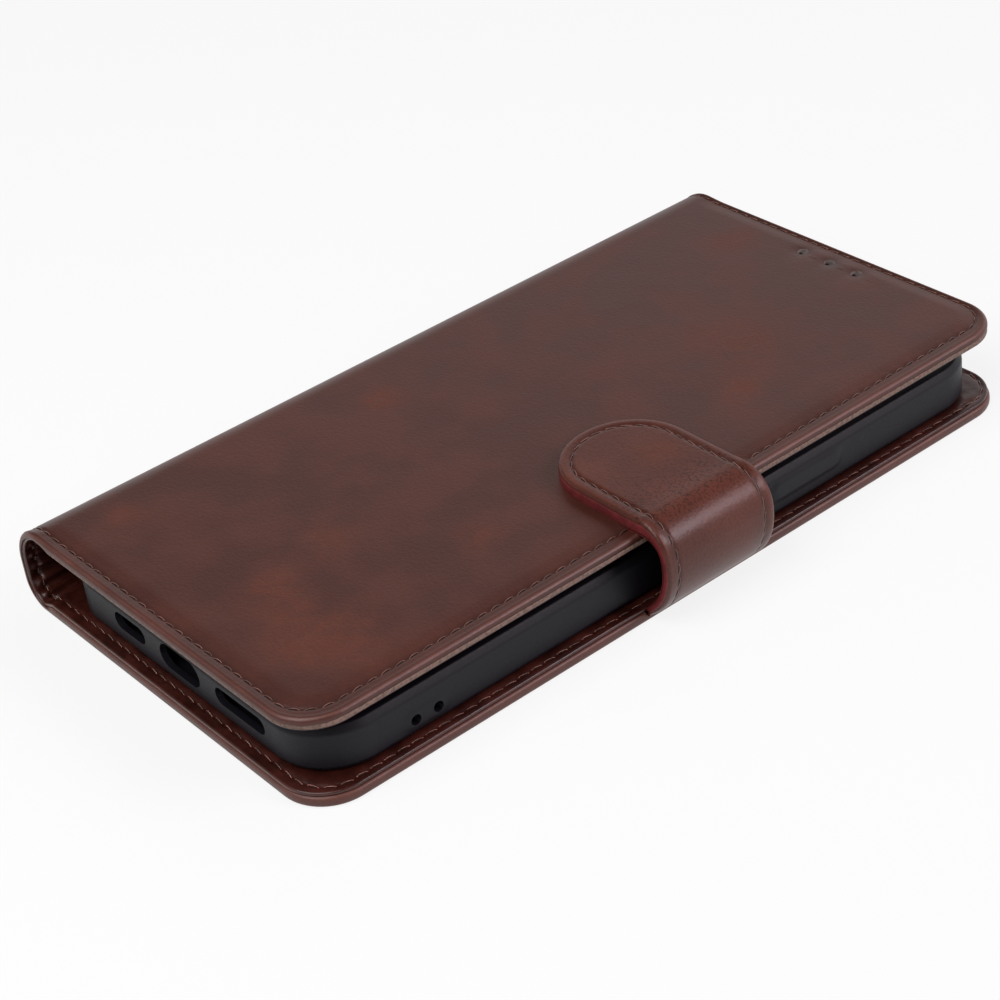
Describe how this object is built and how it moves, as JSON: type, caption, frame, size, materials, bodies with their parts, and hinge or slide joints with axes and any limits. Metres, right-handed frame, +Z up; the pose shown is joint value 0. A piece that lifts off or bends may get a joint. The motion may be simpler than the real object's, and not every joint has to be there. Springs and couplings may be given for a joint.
{
  "type": "phone wallet case",
  "caption": "Folding leather phone wallet case with a moulded phone tray, card and cash pockets, stitched edges and a magnetic strap closure.",
  "frame": {"origin": "on the back cover's underside, at the middle of the phone tray", "axes": "+X from the spine to the opening edge, +Y from the phone's foot to its head, +Z up from the table through the closed case"},
  "size_m": [0.0984, 0.17, 0.0213],
  "materials": {
    "brown_leather": "satin pull-up leather, dark reddish brown",
    "strap_leather": "semi-gloss leather, dark reddish brown",
    "lining_leather": "glossy smooth lining leather, very dark red-brown",
    "edge_painted_leather": "painted cut edge, maroon",
    "thread": "waxed polyester sewing thread, dark brown",
    "tray_tpu": "satin moulded elastomer, charcoal",
    "board": "grey-brown fibre board",
    "foam": "thin padding foam",
    "adhesive": "double-sided adhesive film",
    "steel": "nickel-plated magnet and keeper"
  },
  "bodies": {
    "back_cover": {"back_skin": "brown_leather", "back_board": "board", "back_lining": "lining_leather", "back_stitching": "thread", "strap_anchor": "brown_leather", "tray_adhesive": "adhesive", "phone_tray": "tray_tpu"},
    "spine_lower": {"spine_lower_skin": "brown_leather", "spine_lower_lining": "lining_leather", "spine_lower_stitching": "thread"},
    "spine_upper": {"spine_upper_skin": "brown_leather", "spine_upper_lining": "lining_leather", "spine_upper_stitching": "thread"},
    "front_cover": {"front_skin": "brown_leather", "front_foam": "foam", "front_board": "board", "front_lining": "lining_leather", "front_stitching": "thread", "clasp_keeper": "steel", "cash_pocket": "lining_leather", "card_pocket_inner": "lining_leather", "card_pocket_middle": "lining_leather", "card_pocket_outer": "lining_leather", "pocket_stitching": "thread"},
    "strap_side": {"strap_skin": "strap_leather", "strap_core": "edge_painted_leather", "strap_lining": "lining_leather", "strap_stitching": "thread"},
    "strap_tab": {"tab_skin": "strap_leather", "tab_core": "edge_painted_leather", "tab_lining": "lining_leather", "tab_magnet": "steel", "tab_stitching": "thread"}
  },
  "joints": [
    {"name": "lower_spine_fold", "type": "hinge", "parent": "back_cover", "child": "spine_lower", "pos_m": [-0.04695, 0, 0.0019], "axis": [0, -1, 0], "range_deg": [0, 60]},
    {"name": "middle_spine_fold", "type": "hinge", "parent": "spine_lower", "child": "spine_upper", "pos_m": [-0.0484, 0, 0.00735], "axis": [0, -1, 0], "range_deg": [0, 50]},
    {"name": "cover_fold", "type": "hinge", "parent": "spine_upper", "child": "front_cover", "pos_m": [-0.04584, 0, 0.01549], "axis": [0, -1, 0], "range_deg": [0, 70]},
    {"name": "strap_swing", "type": "hinge", "parent": "back_cover", "child": "strap_side", "pos_m": [0.04305, 0, 0.0015], "axis": [0, 1, 0], "range_deg": [0, 60]},
    {"name": "tab_lift", "type": "hinge", "parent": "strap_side", "child": "strap_tab", "pos_m": [0.04709, 0, 0.01884], "axis": [0, 1, 0], "range_deg": [0, 105]}
  ]
}
